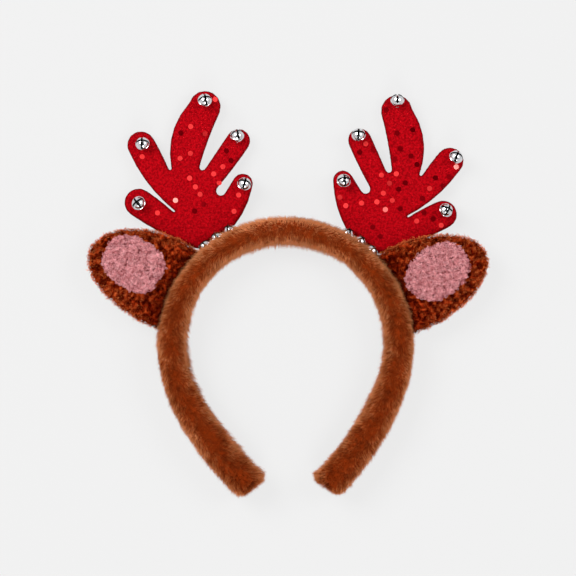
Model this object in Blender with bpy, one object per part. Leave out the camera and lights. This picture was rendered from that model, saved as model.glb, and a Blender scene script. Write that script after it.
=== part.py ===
"""Reindeer antler headband, lying flat on its back edge.

Metres, +Z up. The centre line of the plush hoop crosses the origin at the crown,
+Y runs from the open ends to the crown, and the hoop rests on the plane Z = 0.
Left is -X and right is +X.
"""

import math
from collections import namedtuple

import bmesh
import bpy
from mathutils import Matrix, Vector

# Space kept between pieces that are sewn together.
CLEARANCE = 0.0003

# Plush hoop: a flat hoop wound in short fur, widest at its open ends.
HOOP_RADIUS = 0.0646
BAND_WIDTH = 0.0182
BAND_DEPTH = 0.025
BAND_ROUNDNESS = 2.5
SEAM_DEPTH = 0.0018
TUFT_DEPTH = 0.0007
END_ROUNDING = 0.006
END_FULLNESS = 0.6
END_RING_ANGLES = (30, 58, 80)
SECTION_POINTS = 14
SECTION_STEP = 0.0052

# Turns of the tufts' wave, in radians, along the hoop and round its section.
TUFT_ALONG = 2.4
TUFT_ROUND = 2.1

Leg = namedtuple("Leg", "name side turn_deg radius length")
LEGS = (
    Leg("left", -1, 116, 0.171, 0.0620),
    Leg("right", 1, 112, 0.171, 0.0635),
)

# Growth of the fur's width from the crown to an open end.
Width = namedtuple("Width", "along width")
BAND_WIDTHS = (
    Width(0.00, 1.00),
    Width(0.20, 1.00),
    Width(0.52, 1.08),
    Width(0.64, 1.11),
    Width(0.78, 1.17),
    Width(1.00, 1.20),
)

# Antlers: one padded, die-cut shape, mirrored for the other side.
ANTLER_WIDTH = 0.072
ANTLER_HEIGHT = 0.0823
ANTLER_THICKNESS = 0.005
ANTLER_BACK = 0.0032
ANTLER_EDGE = 0.0012
ANTLER_BASE_WIDTH = 0.023
BASE_CORNER = 0.0015
BASE_CORNER_GAP = 0.00005

# rise and shift move the shape out from the hoop and towards the crown, and base_trim
# is how far its base falls short on the crown's side.
Antler = namedtuple("Antler", "name side angle_deg rise shift lean_deg size base_trim")
ANTLERS = (
    Antler("left", -1, 32.6, -0.0004, 0.0000, 0.0, 1.00, 0.0005),
    Antler("right", 1, 35.9, 0.0040, 0.0018, 10.0, 0.98, 0.0028),
)

# Tine tips (turn 1) and the forks between them (turn -1), from the tall tine outwards
# and round by the seat. across and radius are shares of the width, up of the height,
# and bulge is the swell of the edge that follows, as a share of its length.
Stop = namedtuple("Stop", "name turn across up radius bulge")
OUTER_STOPS = (
    Stop("tall", 1, -0.091, 0.900, 0.121, 0.125),
    Stop("fork_tall_outer", -1, -0.366, 0.468, 0.017, 0.015),
    Stop("outer_upper", 1, -0.597, 0.633, 0.106, 0.06),
    Stop("fork_outer", -1, -0.332, 0.171, 0.013, 0.02),
    Stop("outer_lower", 1, -0.617, 0.234, 0.108, 0.03),
)
INNER_STOPS = (
    Stop("inner_lower", 1, 0.209, 0.366, 0.076, 0.00),
    Stop("fork_inner", -1, 0.035, 0.315, 0.043, 0.015),
    Stop("inner_upper", 1, 0.174, 0.664, 0.089, 0.00),
    Stop("fork_tall_inner", -1, -0.111, 0.478, 0.029, -0.02),
)
INNER_EDGE_BULGE = 0.06

# Jingle bells: thin shells with a cross-cut slot and a sewing shank.
BELL_DIAMETER = 0.0076
BELL_WALL = 0.0005
BELL_RIM = 0.0002
BELL_SIDES = 10
SLOT_WIDTH = 0.0007
SLOT_END = 0.3
SHANK_HEIGHT = 0.001
SHANK_RADIUS = 0.0009

# Angles from the slotted end, in degrees, of the rings of the shell above and below
# its rim, and of those of its inside.
UPPER_RING_ANGLES = (30, 60)
LOWER_RING_ANGLE = 125
INNER_RING_ANGLES = (55, 125)

# The bells along an antler's seat, and the rounded ends of their hollow in the fur.
BASE_BELLS = 3
BASE_BELL_SINK = 0.0013
BASE_BELL_TILT = 45
BASE_BELL_TURN = 20
GROOVE_END_ANGLES = (65, 40, 15)

# How far the padded cloth bends from the cut shape at a stop, as shares of the width.
Bend = namedtuple("Bend", "antler stop across up")
BENDS = (
    Bend("right", "tall", -0.010, 0.000),
    Bend("right", "fork_tall_outer", -0.017, 0.016),
    Bend("right", "outer_upper", 0.000, -0.022),
    Bend("right", "inner_lower", 0.020, -0.020),
    Bend("right", "inner_upper", -0.021, -0.015),
    Bend("right", "fork_tall_inner", -0.012, 0.000),
)

# A bell sits on each tine tip. across and up are the bell's place from the tip's
# centre, as shares of the width. The slots face the viewer, leaning by tilt towards
# the bearing, then turned.
Tine = namedtuple("Tine", "antler stop across up tilt bearing turn")
TINES = (
    Tine("left", "tall", 0.000, 0.046, 32, 80, 12),
    Tine("left", "outer_upper", 0.017, 0.009, 32, 100, 0),
    Tine("left", "outer_lower", 0.003, -0.006, 20, 150, 38),
    Tine("left", "inner_upper", -0.009, 0.036, 50, 90, 15),
    Tine("left", "inner_lower", 0.012, -0.005, 32, 70, -15),
    Tine("right", "tall", 0.013, 0.080, 55, 90, 0),
    Tine("right", "outer_upper", -0.040, 0.038, 38, 65, -20),
    Tine("right", "outer_lower", -0.015, 0.036, 30, 30, -25),
    Tine("right", "inner_upper", 0.014, 0.037, 32, 92, -3),
    Tine("right", "inner_lower", -0.005, -0.002, 25, 70, 5),
)

# Ears: padded half ovals, whose inner face carries a looped patch.
EAR_LENGTH = 0.0508
EAR_WIDTH = 0.0502
EAR_THICKNESS = 0.010
EAR_EDGE = 0.0028
EAR_POINTS = 20
PATCH_LENGTH = 0.0376
PATCH_WIDTH = 0.0299
PATCH_THICKNESS = 0.0023
PATCH_EDGE = 0.0009
PATCH_POINTS = 22
PATCH_ROUNDNESS = 2.4

# length is a share of the ear's length, tip_lean of its width. The patch's middle and
# the straight cut of its start are shares of the ear's length, and it lies shifted and
# turned towards the crown.
Ear = namedtuple(
    "Ear", "name side length tip_lean patch_middle patch_start patch_shift patch_turn_deg"
)
EARS = (
    Ear("left", -1, 0.965, -0.05, 0.449, 0.119, 0.0011, 3),
    Ear("right", 1, 1.000, 0.00, 0.425, 0.062, 0.0025, 12),
)

# Rings of a padded shape from its back to its front: how much of the soft edge each
# leaves out, and its share of the thickness.
PadRing = namedtuple("PadRing", "inset height")
PAD_RINGS = (
    PadRing(1, 0.00),
    PadRing(0, 0.28),
    PadRing(0, 0.72),
    PadRing(1, 1.00),
)

# Facets of round stretches.
ARC_STEP = math.radians(30)
EDGE_STEP = 0.009
SHARP_ANGLE = math.radians(40)


def direction(side, angle):
    """Outward direction at an angle from the crown, on one side of the hoop."""
    return Vector((side * math.sin(angle), math.cos(angle)))


def on_hoop(side, angle, radius):
    """Point at a radius from the hoop's centre."""
    return Vector((0, -HOOP_RADIUS)) + radius * direction(side, angle)


def half_band_width(share):
    """Half the fur's width at a share of the way from the crown to an open end."""
    for near, far in zip(BAND_WIDTHS, BAND_WIDTHS[1:]):
        if share <= far.along:
            break
    part = min(1, (share - near.along) / (far.along - near.along))
    return BAND_WIDTH / 2 * (near.width + part * (far.width - near.width))


def leg_length(leg):
    return HOOP_RADIUS * math.radians(leg.turn_deg) + leg.length


def half_width_at_angle(side, angle):
    leg = next(leg for leg in LEGS if leg.side == side)
    return half_band_width(HOOP_RADIUS * angle / leg_length(leg))


# The section's two lowest points lie level, so that the hoop has a flat strip to rest on.
SECTION_TURN = 2 * math.pi / SECTION_POINTS
FLAT_SHARE = math.cos(SECTION_TURN / 2) ** (2 / BAND_ROUNDNESS)


def band_reach(height, half_width):
    """How far the band stands out from its centre line at a height."""
    half_depth = BAND_DEPTH / 2 / FLAT_SHARE
    level = min(1, abs(height - BAND_DEPTH / 2) / half_depth)
    return half_width * (1 - level**BAND_ROUNDNESS) ** (1 / BAND_ROUNDNESS)


def section_point(index, half_width, station):
    """One point of the band's section: out from the centre line, and up."""
    angle = (index + 0.5) * SECTION_TURN - math.pi / 2
    power = 2 / BAND_ROUNDNESS
    out = math.copysign(abs(math.cos(angle)) ** power, math.cos(angle))
    up = math.copysign(abs(math.sin(angle)) ** power, math.sin(angle)) / FLAT_SHARE
    out *= half_width
    resting = index in (0, SECTION_POINTS - 1)
    if not resting:
        tuft = 0.5 + 0.5 * math.sin(TUFT_ALONG * station + TUFT_ROUND * index)
        shrink = 1 - TUFT_DEPTH * tuft / half_width
        out *= shrink
        up *= shrink
    if index == SECTION_POINTS * 3 // 4:
        out += SEAM_DEPTH
    return out, BAND_DEPTH / 2 * (1 + up)


def leg_place(leg, distance):
    """Point of the centre line and outward direction, at a distance from the crown."""
    turn = math.radians(leg.turn_deg)
    beyond = distance - HOOP_RADIUS * turn
    if beyond <= 0:
        angle = distance / HOOP_RADIUS
        return on_hoop(leg.side, angle, HOOP_RADIUS), direction(leg.side, angle)
    centre = on_hoop(leg.side, turn, HOOP_RADIUS - leg.radius)
    outward = direction(leg.side, turn + beyond / leg.radius)
    return centre + leg.radius * outward, outward


def leg_stations(leg):
    """Distances from the crown to the end of a leg, with how full the section is there."""
    length = leg_length(leg)
    count = round(length / SECTION_STEP)
    stations = [(length * i / count, 1.0) for i in range(1, count + 1)]
    for degrees in END_RING_ANGLES:
        angle = math.radians(degrees)
        full = math.cos(angle) ** END_FULLNESS
        stations.append((length + END_ROUNDING * math.sin(angle), full))
    return stations


def band_rings():
    """Sections of the band, from the left open end over the crown to the right one."""
    left, right = LEGS
    places = [(left, d, f) for d, f in reversed(leg_stations(left))]
    places.append((left, 0.0, 1.0))
    places += [(right, d, f) for d, f in leg_stations(right)]
    rings = []
    for station, (leg, distance, full) in enumerate(places):
        point, outward = leg_place(leg, distance)
        half_width = half_band_width(distance / leg_length(leg))
        ring = []
        for index in range(SECTION_POINTS):
            out, up = section_point(index, half_width, station)
            place = point + outward * out * full
            middle = BAND_DEPTH / 2
            ring.append((place.x, place.y, middle + (up - middle) * full))
        rings.append(ring)
    return rings


def belt(stops):
    """Closed outline round circles, as a belt runs round pulleys.

    stops holds (centre, radius, bulge). A positive radius is passed with the circle on
    the left, a negative one with it on the right.
    """
    count = len(stops)
    headings = []
    for (start, radius, _), (end, next_radius, _) in zip(stops, stops[1:] + stops[:1]):
        gap = end - start
        lean = math.asin((radius - next_radius) / gap.length)
        headings.append(math.atan2(gap.y, gap.x) + lean)
    outline = []
    for i, (centre, radius, bulge) in enumerate(stops):
        arrive = headings[i - 1]
        turn = (headings[i] - arrive) % (2 * math.pi)
        if radius < 0:
            turn -= 2 * math.pi
        steps = math.ceil(max(abs(turn) / ARC_STEP, abs(turn * radius) / EDGE_STEP))
        for k in range(steps + 1):
            left = arrive + turn * k / steps + math.pi / 2
            outline.append(centre - radius * Vector((math.cos(left), math.sin(left))))
        after, next_radius, _ = stops[(i + 1) % count]
        left = Vector((-math.sin(headings[i]), math.cos(headings[i])))
        start = outline[-1]
        end = after - next_radius * left
        pieces = math.ceil((end - start).length / EDGE_STEP)
        for k in range(1, pieces):
            part = k / pieces
            swell = 4 * part * (1 - part) * bulge * (end - start).length
            outline.append(start.lerp(end, part) - left * swell)
    return outline


def inset(outline, distance):
    """The outline moved inwards. It runs with its inside on the left."""
    moved = []
    for before, here, after in zip(outline[-1:] + outline[:-1], outline, outline[1:] + outline[:1]):
        first = (here - before).normalized()
        second = (after - here).normalized()
        first = Vector((-first.y, first.x))
        second = Vector((-second.y, second.x))
        moved.append(here + (first + second) * distance / (1 + first.dot(second)))
    return moved


def padded_rings(outline, back, thickness, edge):
    """Rings of a flat padded shape with softened edges, from its back to its front."""
    rings = []
    for row in PAD_RINGS:
        height = back + thickness * row.height
        rings.append([(p.x, p.y, height) for p in inset(outline, edge * row.inset)])
    return rings


class AntlerFrame:
    """Placement of one antler: seat on the band, inward and upward directions."""

    def __init__(self, antler):
        self.antler = antler
        self.middle = math.radians(antler.angle_deg)
        lean = math.radians(antler.lean_deg)
        self.inward = Vector((-antler.side * math.cos(lean), math.sin(lean)))
        self.upward = Vector((antler.side * math.sin(lean), math.cos(lean)))
        top = min(ANTLER_BACK + ANTLER_THICKNESS, BAND_DEPTH / 2)
        edge_angle = self.middle + ANTLER_BASE_WIDTH / 2 / HOOP_RADIUS
        half_width = half_width_at_angle(antler.side, edge_angle)
        self.base_radius = HOOP_RADIUS + band_reach(top, half_width) + CLEARANCE
        self.half_base = ANTLER_BASE_WIDTH / 2 / self.base_radius
        seat_radius = HOOP_RADIUS + BAND_WIDTH / 2 + antler.rise
        self.seat = on_hoop(antler.side, self.middle, seat_radius) + self.inward * antler.shift
        self.bends = {row.stop: row for row in BENDS if row.antler == antler.name}

    def place(self, across, up):
        """World place of a point given by its lengths from the seat."""
        return self.seat + (self.inward * across + self.upward * up) * self.antler.size

    def tip(self, row, more_across=0, more_up=0):
        """Centre of a tip or fork, shifted by shares of the width."""
        bend = self.bends.get(row.name)
        if bend:
            more_across += bend.across
            more_up += bend.up
        across = (row.across + more_across) * ANTLER_WIDTH
        return self.place(across, row.up * ANTLER_HEIGHT + more_up * ANTLER_WIDTH)

    def stop(self, row):
        radius = row.turn * row.radius * ANTLER_WIDTH * self.antler.size
        return self.tip(row), radius, row.bulge

    def base_stops(self):
        """Rounded corners of the base, and the hoop's curve between them."""
        side = self.antler.side
        reach = self.base_radius + BASE_CORNER + BASE_CORNER_GAP
        trim = self.antler.base_trim / self.base_radius
        outer = on_hoop(side, self.middle + self.half_base, reach)
        inner = on_hoop(side, self.middle - self.half_base + trim, reach)
        hoop = Vector((0, -HOOP_RADIUS))
        return [
            (outer, BASE_CORNER, 0),
            (hoop, -self.base_radius, 0),
            (inner, BASE_CORNER, INNER_EDGE_BULGE),
        ]

    def outline(self):
        """Edge of the antler, with its inside on the left."""
        stops = [self.stop(row) for row in OUTER_STOPS]
        stops += self.base_stops()
        stops += [self.stop(row) for row in INNER_STOPS]
        if self.antler.side < 0:
            return belt(stops)
        mirrored = [(Vector((-c.x, c.y)), r, b) for c, r, b in stops]
        return [Vector((-p.x, p.y)) for p in reversed(belt(mirrored))]


BELL_RADIUS = BELL_DIAMETER / 2
BASE_BELL_HEIGHT = ANTLER_BACK + ANTLER_THICKNESS + CLEARANCE + BELL_RADIUS
BASE_BELL_RING = HOOP_RADIUS + BAND_WIDTH / 2 - BASE_BELL_SINK
BASE_BELL_PITCH = (BELL_DIAMETER + 2 * BELL_RIM + CLEARANCE) / BASE_BELL_RING
BASE_BELL_END = BASE_BELL_PITCH * (BASE_BELLS - 1) / 2


def groove_rings(antler):
    """Cutter for the hollow in the fur where an antler's base bells nest."""
    radius = BELL_RADIUS + SHANK_HEIGHT + CLEARANCE
    middle = math.radians(antler.angle_deg)
    stations = []
    for degrees in GROOVE_END_ANGLES:
        angle = math.radians(degrees)
        beyond = radius * math.sin(angle) / BASE_BELL_RING
        stations.append((-BASE_BELL_END - beyond, math.cos(angle)))
    stations += [(BASE_BELL_END * k / 2, 1.0) for k in range(-2, 3)]
    stations += [(-turn, full) for turn, full in reversed(stations[:3])]
    rings = []
    for turn, full in stations:
        centre = on_hoop(antler.side, middle + turn, BASE_BELL_RING)
        outward = direction(antler.side, middle + turn)
        ring = []
        for k in range(SECTION_POINTS):
            angle = 2 * math.pi * k / SECTION_POINTS
            point = centre + outward * radius * full * math.cos(angle)
            height = BASE_BELL_HEIGHT + radius * full * math.sin(angle)
            ring.append((point.x, point.y, height))
        rings.append(ring)
    return rings


def ear_middle(ear):
    """Angle of an ear, which starts where the base bells end."""
    antler = next(antler for antler in ANTLERS if antler.side == ear.side)
    bells_end = math.radians(antler.angle_deg) + BASE_BELL_END
    bell_half = (BELL_RADIUS + BELL_RIM + CLEARANCE) / BASE_BELL_RING
    ear_half = math.asin(EAR_WIDTH / 2 / (HOOP_RADIUS + BAND_WIDTH / 2))
    return bells_end + bell_half + ear_half


def ear_frame(ear):
    """Base radius, and a function from out and towards-the-crown lengths to a point."""
    middle = ear_middle(ear)
    half = math.asin(EAR_WIDTH / 2 / HOOP_RADIUS)
    half_width = half_width_at_angle(ear.side, middle + half)
    radius = HOOP_RADIUS + half_width + CLEARANCE
    seat = on_hoop(ear.side, middle, radius)
    outward = direction(ear.side, middle)
    crownward = Vector((-ear.side * outward.y, ear.side * outward.x))

    def place(out, along):
        return seat + outward * out + crownward * along

    return radius, place


def facing_up(outline):
    """The outline, turned round if its inside is on the right."""
    pairs = zip(outline, outline[1:] + outline[:1])
    area = sum(a.x * b.y - a.y * b.x for a, b in pairs)
    return outline if area > 0 else outline[::-1]


def ear_outline(ear):
    """Half oval standing on the band, whose base follows the band's curve."""
    radius, place = ear_frame(ear)
    outline = []
    for k in range(EAR_POINTS + 1):
        angle = math.pi * (k / EAR_POINTS - 0.5)
        out = EAR_LENGTH * ear.length * math.cos(angle)
        along = math.sin(angle) / 2 + ear.tip_lean * math.cos(angle) ** 2
        outline.append(place(out, EAR_WIDTH * along))
    half = math.asin(EAR_WIDTH / 2 / radius)
    base_points = math.ceil(EAR_WIDTH / EDGE_STEP)
    for k in range(base_points + 1):
        angle = half * (1 - 2 * k / base_points)
        outline.append(place(radius * (math.cos(angle) - 1), radius * math.sin(angle)))
    return facing_up(outline)


def patch_outline(ear):
    """Rounded patch on the ear, cut straight towards the band."""
    _, place = ear_frame(ear)
    power = 2 / PATCH_ROUNDNESS
    middle = ear.patch_middle * EAR_LENGTH
    start = ear.patch_start * EAR_LENGTH - middle
    turn = math.radians(ear.patch_turn_deg)
    outline = []
    for k in range(PATCH_POINTS):
        angle = 2 * math.pi * (k + 0.5) / PATCH_POINTS - math.pi
        cosine = math.copysign(abs(math.cos(angle)) ** power, math.cos(angle))
        sine = math.copysign(abs(math.sin(angle)) ** power, math.sin(angle))
        out = max(start, PATCH_LENGTH / 2 * cosine)
        along = PATCH_WIDTH / 2 * sine
        turned_out = out * math.cos(turn) - along * math.sin(turn)
        turned_along = out * math.sin(turn) + along * math.cos(turn)
        outline.append(place(middle + turned_out, ear.patch_shift + turned_along))
    return facing_up(outline)


def lofted(name, rings):
    """Closed mesh through rings of points, capped at both ends."""
    bm = bmesh.new()
    loops = [[bm.verts.new(point) for point in ring] for ring in rings]
    for lower, upper in zip(loops, loops[1:]):
        for k in range(len(lower)):
            after = (k + 1) % len(lower)
            bm.faces.new((lower[k], lower[after], upper[after], upper[k]))
    bm.faces.new(reversed(loops[0]))
    bm.faces.new(loops[-1])
    bmesh.ops.recalc_face_normals(bm, faces=bm.faces)
    bmesh.ops.triangulate(bm, faces=[f for f in bm.faces if len(f.verts) > 4])
    mesh = bpy.data.meshes.new(name)
    bm.to_mesh(mesh)
    bm.free()
    return mesh


def turned(bm, profile, inwards):
    """Adds a closed turned surface, whose profile of (radius, height) starts and ends on the axis."""
    first = bm.verts.new((0, 0, profile[0][1]))
    last = bm.verts.new((0, 0, profile[-1][1]))
    loops = []
    for radius, height in profile[1:-1]:
        loop = []
        for k in range(BELL_SIDES):
            angle = 2 * math.pi * k / BELL_SIDES
            loop.append(bm.verts.new((radius * math.cos(angle), radius * math.sin(angle), height)))
        loops.append(loop)
    faces = []
    for k in range(BELL_SIDES):
        after = (k + 1) % BELL_SIDES
        faces.append(bm.faces.new((first, loops[0][k], loops[0][after])))
        faces.append(bm.faces.new((last, loops[-1][after], loops[-1][k])))
        for upper, lower in zip(loops, loops[1:]):
            faces.append(bm.faces.new((upper[k], lower[k], lower[after], upper[after])))
    if inwards:
        bmesh.ops.reverse_faces(bm, faces=faces)


def cross_slot():
    """Cutter for the bell's two crossing slots, which end above the rim."""
    near = SLOT_WIDTH / 2
    far = BELL_DIAMETER
    ring = []
    for quarter in range(4):
        turn = Matrix.Rotation(quarter * math.pi / 2, 2)
        for x, y in ((far, -near), (far, near), (near, near)):
            ring.append(turn @ Vector((x, y)))
    low = BELL_RADIUS * SLOT_END
    rings = [[(p.x, p.y, z) for p in ring] for z in (low, BELL_DIAMETER)]
    return lofted("slot_cutter", rings)


def round_the_ball(radius, degrees):
    """Radius and height of a ball's profile, at an angle from its top."""
    angle = math.radians(degrees)
    return radius * math.sin(angle), radius * math.cos(angle)


def bell_mesh():
    """Turned hollow bell with its slots on +Z and its shank on -Z."""
    outer = [(0, BELL_RADIUS)]
    outer += [round_the_ball(BELL_RADIUS, degrees) for degrees in UPPER_RING_ANGLES]
    outer.append((BELL_RADIUS + BELL_RIM, 0))
    outer.append(round_the_ball(BELL_RADIUS, LOWER_RING_ANGLE))
    joint = math.sqrt(BELL_RADIUS**2 - SHANK_RADIUS**2)
    shank_end = -BELL_RADIUS - SHANK_HEIGHT
    outer += [(SHANK_RADIUS, -joint), (SHANK_RADIUS, shank_end), (0, shank_end)]
    inside = BELL_RADIUS - BELL_WALL
    inner = [(0, inside)]
    inner += [round_the_ball(inside, degrees) for degrees in INNER_RING_ANGLES]
    inner.append((0, -inside))
    bm = bmesh.new()
    turned(bm, outer, False)
    turned(bm, inner, True)
    mesh = bpy.data.meshes.new("bell")
    bm.to_mesh(mesh)
    bm.free()
    return mesh


def finish(name, colour, roughness, metallic):
    material = bpy.data.materials.new(name)
    material.use_nodes = True
    shader = material.node_tree.nodes["Principled BSDF"]
    shader.inputs["Base Color"].default_value = (*colour, 1)
    shader.inputs["Roughness"].default_value = roughness
    shader.inputs["Metallic"].default_value = metallic
    return material


def piece(name, mesh, material, parent):
    """Named object in the scene, smooth where it is round."""
    item = bpy.data.objects.new(name, mesh)
    bpy.context.scene.collection.objects.link(item)
    item.parent = parent
    mesh.shade_smooth()
    mesh.set_sharp_from_angle(angle=SHARP_ANGLE)
    if not mesh.materials:
        mesh.materials.append(material)
    return item


def cut(item, name, cutter_mesh):
    """Cuts a hidden cutter out of an object."""
    cutter = bpy.data.objects.new(name, cutter_mesh)
    bpy.context.scene.collection.objects.link(cutter)
    cutter.hide_render = True
    cutter.display_type = "WIRE"
    modifier = item.modifiers.new(name, "BOOLEAN")
    modifier.operation = "DIFFERENCE"
    modifier.solver = "EXACT"
    modifier.object = cutter


def evaluated_mesh(item):
    """The object's mesh with its modifiers applied, for copies to share."""
    bpy.context.view_layer.update()
    graph = bpy.context.evaluated_depsgraph_get()
    return bpy.data.meshes.new_from_object(item.evaluated_get(graph))


def hang_bell(name, mesh, place, tilt, bearing, turn, material, parent):
    """Places a bell with its slots leaning by tilt towards the bearing."""
    bell = piece(name, mesh, material, parent)
    bell.location = place
    lean = Matrix.Rotation(bearing, 4, "Z") @ Matrix.Rotation(tilt, 4, "Y")
    bell.rotation_euler = (lean @ Matrix.Rotation(turn - bearing, 4, "Z")).to_euler()


def tip_bell_height(tilt):
    """Height of a tip bell's centre, whose shell and shank both clear the antler."""
    shank = (BELL_RADIUS + SHANK_HEIGHT) * math.cos(tilt) + SHANK_RADIUS * math.sin(tilt)
    shell = BELL_RADIUS + BELL_RIM * math.sin(tilt)
    return ANTLER_BACK + ANTLER_THICKNESS + CLEARANCE + max(shank, shell)


for item in list(bpy.data.objects):
    bpy.data.objects.remove(item)

headband = bpy.data.objects.new("headband", None)
bpy.context.scene.collection.objects.link(headband)

fur = finish("fur", (0.30, 0.12, 0.045), 0.85, 0)
red_cloth = finish("red_cloth", (0.55, 0.005, 0.012), 0.45, 0)
teddy = finish("teddy", (0.20, 0.045, 0.012), 0.95, 0)
boucle = finish("boucle", (0.60, 0.22, 0.24), 0.95, 0)
silver = finish("silver", (0.85, 0.85, 0.87), 0.12, 1)

band = piece("fur_band", lofted("fur_band", band_rings()), fur, headband)
frames = {}
for antler in ANTLERS:
    cut(band, f"bell_groove_{antler.name}", lofted("groove", groove_rings(antler)))
    frame = AntlerFrame(antler)
    frames[antler.name] = frame
    rings = padded_rings(frame.outline(), ANTLER_BACK, ANTLER_THICKNESS, ANTLER_EDGE)
    antler_mesh = lofted(f"antler_{antler.name}", rings)
    piece(f"antler_{antler.name}", antler_mesh, red_cloth, headband)

ear_back = ANTLER_BACK + ANTLER_THICKNESS + CLEARANCE
patch_back = ear_back + EAR_THICKNESS + CLEARANCE
for ear in EARS:
    rings = padded_rings(ear_outline(ear), ear_back, EAR_THICKNESS, EAR_EDGE)
    piece(f"ear_{ear.name}", lofted(f"ear_{ear.name}", rings), teddy, headband)
    rings = padded_rings(patch_outline(ear), patch_back, PATCH_THICKNESS, PATCH_EDGE)
    patch_mesh = lofted(f"ear_patch_{ear.name}", rings)
    piece(f"ear_patch_{ear.name}", patch_mesh, boucle, headband)

shell = piece("bell_shell", bell_mesh(), silver, None)
cut(shell, "bell_slots", cross_slot())
slotted = evaluated_mesh(shell)
bpy.data.objects.remove(shell)

stops = {row.name: row for row in OUTER_STOPS + INNER_STOPS}
for row in TINES:
    place = frames[row.antler].tip(stops[row.stop], row.across, row.up)
    tilt = math.radians(row.tilt)
    hang_bell(
        f"bell_{row.antler}_{row.stop}",
        slotted,
        (place.x, place.y, tip_bell_height(tilt)),
        tilt,
        math.radians(row.bearing),
        math.radians(row.turn),
        silver,
        headband,
    )

for antler in ANTLERS:
    for number in range(BASE_BELLS):
        offset = BASE_BELL_PITCH * number - BASE_BELL_END
        angle = math.radians(antler.angle_deg) + offset
        place = on_hoop(antler.side, angle, BASE_BELL_RING)
        hang_bell(
            f"bell_{antler.name}_base_{number + 1}",
            slotted,
            (place.x, place.y, BASE_BELL_HEIGHT),
            math.radians(BASE_BELL_TILT),
            math.pi / 2 - antler.side * angle,
            math.radians(BASE_BELL_TURN * number),
            silver,
            headband,
        )
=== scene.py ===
"""Reindeer antler headband, lying flat and seen from straight above.

Metres, +Z up. The centre line of the hoop crosses the origin at the crown, +Y runs from
the open ends to the crown, and the headband lies on the plane Z = 0.
"""

import math
from collections import namedtuple

import bmesh
import bpy
import numpy as np
from mathutils import Matrix, Vector, noise
from mathutils.bvhtree import BVHTree
from mathutils.kdtree import KDTree


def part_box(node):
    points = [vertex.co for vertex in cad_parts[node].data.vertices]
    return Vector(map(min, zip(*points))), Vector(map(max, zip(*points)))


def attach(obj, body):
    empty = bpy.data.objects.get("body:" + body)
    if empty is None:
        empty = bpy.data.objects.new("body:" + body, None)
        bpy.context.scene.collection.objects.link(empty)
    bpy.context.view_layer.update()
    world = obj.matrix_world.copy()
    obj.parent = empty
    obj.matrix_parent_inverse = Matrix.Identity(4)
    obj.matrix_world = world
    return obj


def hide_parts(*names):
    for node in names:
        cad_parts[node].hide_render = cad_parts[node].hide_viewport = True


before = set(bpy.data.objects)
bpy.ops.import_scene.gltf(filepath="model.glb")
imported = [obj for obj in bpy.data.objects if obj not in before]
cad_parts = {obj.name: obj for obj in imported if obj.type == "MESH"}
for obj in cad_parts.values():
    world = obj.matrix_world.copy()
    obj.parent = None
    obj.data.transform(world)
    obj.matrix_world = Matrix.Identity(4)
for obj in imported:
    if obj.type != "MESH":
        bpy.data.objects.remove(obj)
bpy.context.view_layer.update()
scene = bpy.context.scene

# The hoop: a flat springy hoop in a sleeve of short brown plush. The sleeve is a knitted
# backing, sewn shut along the inside of the hoop, and the pile stands off it all round.
HOOP_RADIUS = 0.0646
HOOP_WIDTH = 0.0182
HOOP_DEPTH = 0.025
HOOP_ROUNDNESS = 2.5
HOOP_FLAT = 0.98
END_ROUNDING = 0.006
END_FULLNESS = 0.6
SEAM_DEPTH = 0.0018
SEAM_SPREAD = 0.22
PILE_DEPTH = 0.0046
BACKING_DEPTH = 0.0026
BACKING_SIDES = 28
BACKING_STEP = 0.004
BACKING_ENDS = (0.0015, 0.0004)
FLOOR_GAP = 0.0001
HOOP_MIDDLE = np.array((0, -HOOP_RADIUS, 0))

# From the crown each leg turns on the hoop's radius, then runs on at a wider radius for its
# length. It is wider by WIDTH_SHARES at WIDTH_PLACES along it.
Leg = namedtuple("Leg", "side turn radius length")
LEGS = (
    Leg(-1, math.radians(116), 0.171, 0.0620),
    Leg(1, math.radians(112), 0.171, 0.0635),
)
WIDTH_PLACES = (0.00, 0.20, 0.52, 0.64, 0.78, 1.00)
WIDTH_SHARES = (1.00, 1.00, 1.08, 1.11, 1.17, 1.20)


def unit(vectors):
    """Rows of vectors at length one."""
    return vectors / np.linalg.norm(vectors, axis=-1, keepdims=True)


def bump(values, middle, spread):
    """1 where the values are at the middle, falling softly to 0 on both sides."""
    return np.exp(-(((values - middle) / spread) ** 2))


def leg_length(leg):
    """Length of the centre line from the crown to the start of the rounded end."""
    return HOOP_RADIUS * leg.turn + leg.length


def hoop_line(leg, distance):
    """Centre line, outward direction and heading at distances from the crown."""
    arc = HOOP_RADIUS * leg.turn
    on_arc = distance < arc
    beyond = leg.turn + (distance - arc) / leg.radius
    angle = np.where(on_arc, distance / HOOP_RADIUS, beyond)
    level = np.zeros_like(angle)
    outward = np.stack([leg.side * np.sin(angle), np.cos(angle), level], axis=1)
    heading = np.stack([leg.side * np.cos(angle), -np.sin(angle), level], axis=1)
    turn_out = np.array((leg.side * math.sin(leg.turn), math.cos(leg.turn), 0))
    next_middle = HOOP_MIDDLE + (HOOP_RADIUS - leg.radius) * turn_out
    centre = np.where(on_arc[:, None], HOOP_MIDDLE, next_middle)
    radius = np.where(on_arc, HOOP_RADIUS, leg.radius)
    return centre + radius[:, None] * outward, outward, heading


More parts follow.
